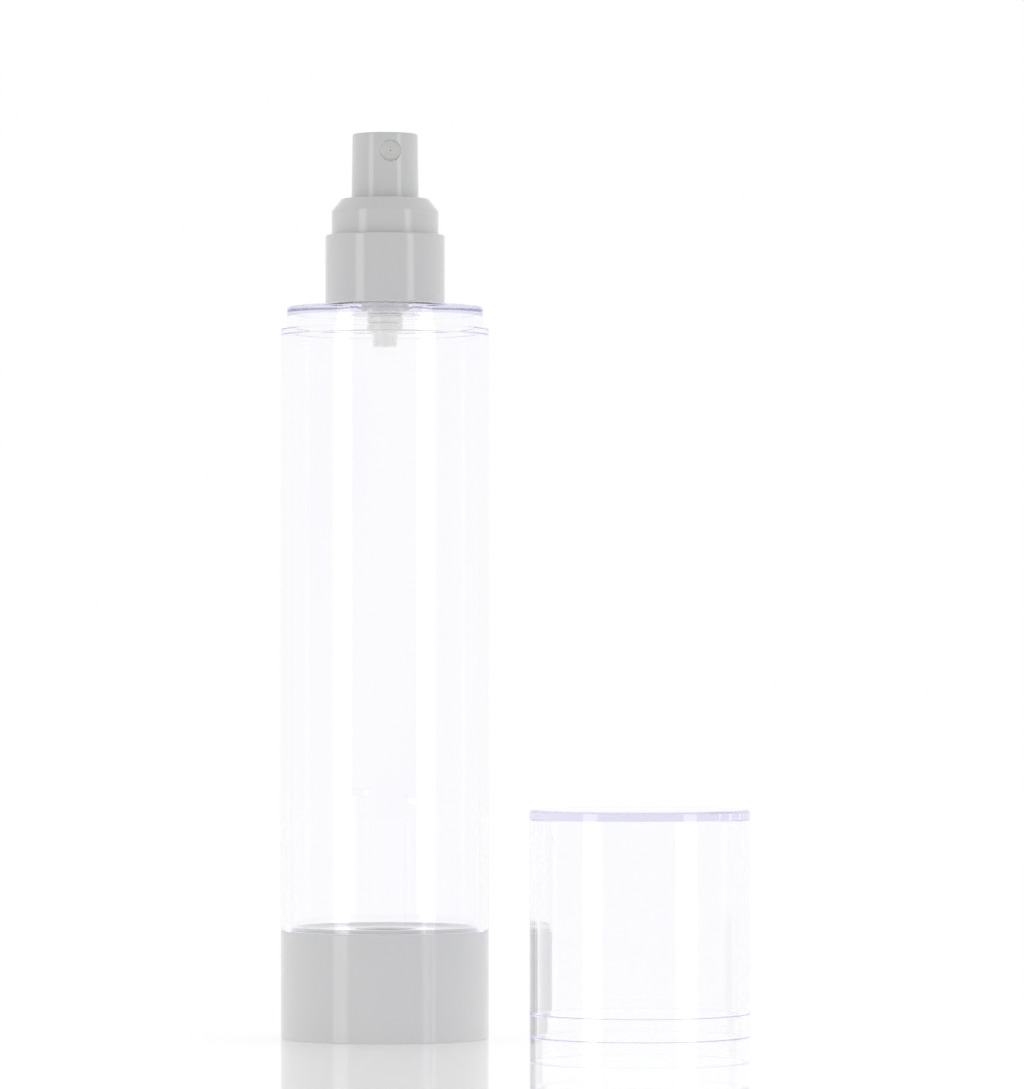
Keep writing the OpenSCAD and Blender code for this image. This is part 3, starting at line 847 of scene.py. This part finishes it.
def actuator_dish():
    """The shallow dish for the finger, from its rim to the axis."""
    shares = [k / DISH_STEPS for k in range(1, DISH_STEPS + 1)]
    return [(DISH_R * (1 - share), ACTUATOR_TOP - DISH_DEPTH * (1 - (1 - share) ** 2), SHARP)
            for share in shares]


def actuator_corners():
    return ([(0, CHANNEL_TOP, SHARP), (CHANNEL_R, CHANNEL_TOP, SHARP),
             (CHANNEL_R, SOCKET_TOP, SHARP), (SOCKET_R, SOCKET_TOP, SHARP),
             (SOCKET_R, BOSS_LOW, FINE), (BOSS_R, BOSS_LOW, SOFT), (BOSS_R, HOLLOW_TOP, FULL),
             (HOLLOW_R, HOLLOW_TOP, FULL), (HOLLOW_R, ACTUATOR_LOW, FINE),
             (ACTUATOR_LOW_R, ACTUATOR_LOW, FINE)]
            + actuator_wall()
            + [(ACTUATOR_R, ACTUATOR_TOP, ACTUATOR_EDGE), (DISH_R, ACTUATOR_TOP, DISH_EDGE)]
            + actuator_dish())


def aim_along_spray(piece):
    """Turns a shape made about Z so that its +Z runs along the spray."""
    turn = Vector((0, 0, 1)).rotation_difference(SPRAY).to_matrix()
    for vertex in piece.data.vertices:
        vertex.co = turn @ vertex.co + Vector((0, 0, NOZZLE_Z * MM))
    return piece


def cut(piece, cutter):
    boolean = piece.modifiers.new("cut", "BOOLEAN")
    boolean.object = cutter
    boolean.solver = "EXACT"
    piece.modifiers.move(len(piece.modifiers) - 1, 0)
    apply_modifiers(piece)
    bpy.data.objects.remove(cutter)
    finish_mesh(piece)


actuator = lathe("actuator_shell", actuator_corners(), closed=False, segments=ACTUATOR_SEGMENTS)
seat_cutter = lathe("seat_cutter", [
    (0, SEAT_FLOOR, SHARP), (NOZZLE_R, SEAT_FLOOR, SHARP), (NOZZLE_R, SEAT_MOUTH, SHARP),
    (0, SEAT_MOUTH, SHARP)], closed=False, segments=SMALL_SEGMENTS)
cut(actuator, aim_along_spray(seat_cutter))
dress(white, actuator)
place(actuator, "actuator", "white_gloss", "actuator")

# %% [markdown]
# The nozzle insert is a cup of another batch of plastic, pressed so tightly
# into its seat that no gap shows: it reads as a duller disc with a low round
# land in its middle, whose shoulder takes a spark of light, and a spray
# orifice as fine as a pin prick. Behind it stands the actuator's own post,
# which the cup is pressed over.

# %% Nozzle insert
INSERT_R = NOZZLE_R + 0.01
INSERT_BORE = 1.3
INSERT_WALL = 0.7
INSERT_EDGE = 0.03
ORIFICE_R = 0.1
LAND_R, LAND_H = 0.8, 0.05
POST_R = 1.05
POST_ROOT = SEAT_FLOOR - 0.5
SWIRL_GAP = 0.1


def insert_corners():
    inside = INSERT_FACE - INSERT_WALL
    land_top = INSERT_FACE + LAND_H
    return [(ORIFICE_R, inside, KEEN), (INSERT_BORE, inside, KEEN),
            (INSERT_BORE, INSERT_BACK, CRISP), (INSERT_R, INSERT_BACK, FINE),
            (INSERT_R, INSERT_FACE, INSERT_EDGE), (LAND_R + LAND_H, INSERT_FACE, INSERT_EDGE),
            (LAND_R - LAND_H, land_top, CRISP), (ORIFICE_R, land_top, INSERT_EDGE)]


def post_corners():
    tip = INSERT_FACE - INSERT_WALL - SWIRL_GAP
    return [(0, POST_ROOT, SHARP), (POST_R, POST_ROOT, SHARP), (POST_R, tip, CRISP),
            (0, tip, SHARP)]


insert = aim_along_spray(lathe("spray_insert", insert_corners(), segments=SMALL_SEGMENTS))
dress(insert_white, insert)
place(insert, "actuator", "natural_polypropylene", "nozzle_insert")
post = lathe("nozzle_post", post_corners(), closed=False, segments=SMALL_SEGMENTS)
aim_along_spray(post)
dress(white, post)
place(post, "actuator", "white_gloss", "actuator")

# %% [markdown]
# Under the plate hangs the tail of the pump: a natural, milky moulding with
# fine rings and the inlet through which the product enters.

# %% Pump housing
HOUSING_TOP = node_top("pump_housing")
INLET_TIP = node_low("pump_housing")
FLANGE_R = node_radius("pump_housing")
TAIL_R, TAIL_Z = 3.47, INLET_TIP + 3.0
TAIL_EDGE, TAIL_ROOT = 0.12, 0.08
INLET_R, INLET_TIP_R, INLET_BORE = 2.45, 2.35, 1.0
PUMP_R, PUMP_OUT_R = 3.9, 4.6
PLUG_R = PORT_R - PRESS_FIT
PLUG_LOW = SPIGOT_TOP - 1.5
PLUG_CONE_H = 0.5
FLANGE_LOW = SPIGOT_TOP + 1.0
FLANGE_TOP = FLANGE_LOW + 1.0
CAGE_R, CAGE_LIP_R = 2.2, 1.35
SEAT_LOW = TAIL_Z + 0.1
SEAT_TOP = SEAT_LOW + CAGE_R - INLET_BORE
SPRING_LOW = 139.9
CAGE_TOP = SPRING_LOW - 1.0
BARREL_FLOOR = SPRING_LOW - 0.95
RING_W, RING_IN, RING_EDGE = 0.35, 0.3, 0.04
LOWER_RING_Z = TAIL_Z + 1.4
UPPER_RING_Z = BARREL_FLOOR - 0.45


def tail_ring(z):
    groove_r = TAIL_R - RING_IN
    return [(TAIL_R, z, RING_EDGE), (groove_r, z, RING_EDGE), (groove_r, z + RING_W, RING_EDGE),
            (TAIL_R, z + RING_W, RING_EDGE)]


def housing_corners():
    tail = [(INLET_BORE, INLET_TIP, CRISP), (INLET_TIP_R, INLET_TIP, TAIL_EDGE),
            (INLET_R, TAIL_Z, TAIL_EDGE), (TAIL_R, TAIL_Z, EASY)]
    outside = [(TAIL_R, BARREL_FLOOR, TAIL_ROOT), (PUMP_OUT_R, BARREL_FLOOR, EASY),
               (PUMP_OUT_R, PLUG_LOW - PLUG_CONE_H, CRISP), (PLUG_R, PLUG_LOW, CRISP),
               (PLUG_R, FLANGE_LOW, KEEN), (FLANGE_R, FLANGE_LOW, CRISP),
               (FLANGE_R, FLANGE_TOP, CRISP), (PUMP_OUT_R, FLANGE_TOP, CRISP),
               (PUMP_OUT_R, HOUSING_TOP, CRISP)]
    inside = [(PUMP_R, HOUSING_TOP, CRISP), (PUMP_R, SPRING_LOW, SOFT),
              (CAGE_LIP_R, SPRING_LOW, CRISP), (CAGE_LIP_R, CAGE_TOP, KEEN),
              (CAGE_R, CAGE_TOP, KEEN), (CAGE_R, SEAT_TOP, CRISP), (INLET_BORE, SEAT_LOW, CRISP)]
    return tail + tail_ring(LOWER_RING_Z) + tail_ring(UPPER_RING_Z) + outside + inside


housing = lathe("pump_body", housing_corners(), segments=SMALL_SEGMENTS)
dress(natural, housing)
place(housing, "barrel", "natural_polypropylene", "pump_housing")

# %% [markdown]
# The return spring is drawn along a helix, ring by ring of its wire.

# %% Return spring
SPRING_FOOT = node_low("return_spring")
SPRING_HEAD = node_top("return_spring")
SPRING_H = SPRING_HEAD - SPRING_FOOT
WIRE_R = 0.275
SPRING_R = node_radius("return_spring") - WIRE_R
SPRING_TURNS = 8
CURL_STEPS = 40
WIRE_SIDES = 10


def wire_ring(share):
    """The wire's section at a share of the way from the foot to the head."""
    turned = share * SPRING_TURNS * 2 * math.pi
    out = Vector((math.cos(turned), math.sin(turned), 0))
    centre = out * SPRING_R
    centre.z = SPRING_FOOT + WIRE_R + (SPRING_H - 2 * WIRE_R) * share
    for i in range(WIRE_SIDES):
        b = 2 * math.pi * i / WIRE_SIDES
        yield (centre + out * (WIRE_R * math.cos(b)) + Vector((0, 0, WIRE_R * math.sin(b)))) * MM


def spring_mesh():
    steps = SPRING_TURNS * CURL_STEPS
    verts = [point for k in range(steps + 1) for point in wire_ring(k / steps)]
    faces = []
    for k in range(steps):
        row, above = k * WIRE_SIDES, (k + 1) * WIRE_SIDES
        for i in range(WIRE_SIDES):
            n = (i + 1) % WIRE_SIDES
            faces.append((row + i, row + n, above + n, above + i))
    faces.append(tuple(range(WIRE_SIDES)))
    faces.append(tuple(range(steps * WIRE_SIDES, (steps + 1) * WIRE_SIDES)))
    return verts, faces


spring = finish_mesh(piece_from("steel_spring", *spring_mesh()))
dress(steel, spring)
place(spring, "barrel", "steel", "return_spring")
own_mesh(spring)

# %% [markdown]
# The small inner pieces keep their exact solids and only get their material:
# the chaplet, stem, valve rod and pump piston are plastic, the ball is steel
# and the gasket is foam.

# %% Inner pieces
for node, material in (("chaplet", natural), ("stem", natural), ("valve_rod", natural),
                       ("pump_piston", follower_white), ("inlet_ball", steel),
                       ("neck_gasket", seal)):
    dress(material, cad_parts[node])
    shade_with_edges(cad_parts[node])
    print(node, "wears", material.name)

# %% [markdown]
# The table is a glossy white acrylic sheet. At this flat angle it mirrors more
# than half of what stands on it, and the rest of it is plain white. The less
# it mirrors, the more of its own light it needs to look as white as the room
# behind it, so that lift is tied to the Fresnel share. The sheet ends not far
# behind the bottle, so that no horizon can show through the clear wall. Around
# the bottle it is lit from below, as in a light box, which brightens the foot.

# %% Table
TABLE_SIZE = 1.5
TABLE_WHITE = (0.8, 0.8, 0.8, 1)
TABLE_GLOSS = 0.03
TABLE_IOR = 1.49
TABLE_LIFT = 0.235
GLOW, GLOW_RADIUS = 0.45, 0.4


def shows_background(tree, path):
    """1 for the rays that show the white background: camera, glossy and transmission."""
    seen = path["Is Camera Ray"]
    for label in ("Is Glossy Ray", "Is Transmission Ray"):
        seen = math_node(tree, "MAXIMUM", seen, path[label])
    return seen


def glow_from_below(tree):
    """Light under the sheet, which fades away from the bottle."""
    reach = tree.nodes.new("ShaderNodeVectorMath")
    reach.operation = "LENGTH"
    tree.links.new(object_place(tree), reach.inputs[0])
    fade = tree.nodes.new("ShaderNodeMapRange")
    fade.interpolation_type = "SMOOTHSTEP"
    fade.inputs["From Max"].default_value = GLOW_RADIUS
    fade.inputs["To Min"].default_value = GLOW
    fade.inputs["To Max"].default_value = 0.0
    tree.links.new(reach.outputs["Value"], fade.inputs["Value"])
    return fade.outputs["Result"]


def table_material():
    material, tree, shader = new_material("acrylic_table")
    shader.inputs["Base Color"].default_value = TABLE_WHITE
    shader.inputs["Roughness"].default_value = TABLE_GLOSS
    shader.inputs["IOR"].default_value = TABLE_IOR
    shader.inputs["Emission Color"].default_value = (1, 1, 1, 1)
    path = tree.nodes.new("ShaderNodeLightPath").outputs
    mirror = tree.nodes.new("ShaderNodeFresnel")
    mirror.inputs["IOR"].default_value = TABLE_IOR
    not_mirrored = math_node(tree, "SUBTRACT", 1.0, mirror.outputs["Fac"])
    lift = math_node(tree, "MULTIPLY", not_mirrored, TABLE_LIFT)
    lift = math_node(tree, "MULTIPLY", shows_background(tree, path), lift)
    glow = math_node(tree, "MULTIPLY", path["Is Diffuse Ray"], glow_from_below(tree))
    tree.links.new(math_node(tree, "ADD", lift, glow), shader.inputs["Emission Strength"])
    return material


table = piece_from("table", [(-TABLE_SIZE, -TABLE_SIZE, 0), (TABLE_SIZE, -TABLE_SIZE, 0),
                             (TABLE_SIZE, TABLE_SIZE, 0), (-TABLE_SIZE, TABLE_SIZE, 0)],
                   [(0, 1, 2, 3)])
dress(table_material(), table)
print("table:", 2 * TABLE_SIZE, "m square")

# %% [markdown]
# The light is a white room with two tall strip lamps in front, left and
# right, whose reflections are the upright bands on the white pieces. The
# camera, the gloss and the clear plastic see the room as plain white. The matt
# surfaces are lit by it from behind more than from the front, and from both
# sides, a little more from the right: so a round piece is darkest in its
# middle and grows lighter to its edges, as before a bright backdrop. The mean
# of the room is about one, so a colour looks nearly as written.

# %% Light
ROOM_FRONT, ROOM_BACK = 0.325, 1.355
ROOM_WINGS = 0.4
ROOM_SIDE = 0.07
LAMP_RADIANCE = 2.2
LAMP_DISTANCE = 0.9
LAMP_H = 1.0
LAMP_Z = 0.1
LEFT_LAMP = (-48.5, 16.7)
RIGHT_LAMP = (51.0, 13.7)


def room_level(tree):
    """How bright the room is for the matt surfaces, by its direction."""
    where = tree.nodes.new("ShaderNodeTexCoord").outputs["Generated"]
    split = tree.nodes.new("ShaderNodeSeparateXYZ")
    tree.links.new(where, split.inputs["Vector"])
    depth = tree.nodes.new("ShaderNodeMapRange")
    depth.inputs["From Min"].default_value = -1
    depth.inputs["To Min"].default_value = ROOM_FRONT
    depth.inputs["To Max"].default_value = ROOM_BACK
    tree.links.new(split.outputs["Y"], depth.inputs["Value"])
    side = math_node(tree, "MULTIPLY", split.outputs["X"], ROOM_SIDE)
    sideways = math_node(tree, "POWER", split.outputs["X"], 2.0)
    wings = math_node(tree, "MULTIPLY", sideways, ROOM_WINGS)
    return math_node(tree, "ADD", math_node(tree, "ADD", depth.outputs["Result"], side), wings)


def make_world():
    world = bpy.data.worlds.new("white_room")
    bpy.context.scene.world = world
    world.use_nodes = True
    tree = world.node_tree
    room = tree.nodes["Background"]
    room.inputs["Color"].default_value = (1, 1, 1, 1)
    seen = shows_background(tree, tree.nodes.new("ShaderNodeLightPath").outputs)
    level = mixed(tree, seen, room_level(tree), 1.0, kind="FLOAT")
    tree.links.new(level, room.inputs["Strength"])


def strip_lamp(name, azimuth, width_angle):
    """A tall soft box seen from the bottle under width_angle degrees."""
    data = bpy.data.lights.new(name, "AREA")
    data.shape = "RECTANGLE"
    data.size = 2 * LAMP_DISTANCE * math.tan(math.radians(width_angle / 2))
    data.size_y = LAMP_H
    data.energy = LAMP_RADIANCE * math.pi * data.size * data.size_y
    lamp = bpy.data.objects.new(name, data)
    a = math.radians(azimuth)
    lamp.location = (LAMP_DISTANCE * math.sin(a), -LAMP_DISTANCE * math.cos(a), LAMP_Z)
    lamp.rotation_euler = (math.pi / 2, 0, a)
    lamp.visible_camera = False
    bpy.context.scene.collection.objects.link(lamp)
    print(name, round(data.energy, 2), "W")


make_world()
strip_lamp("left_strip", *LEFT_LAMP)
strip_lamp("right_strip", *RIGHT_LAMP)
bpy.context.scene.view_settings.view_transform = "Standard"
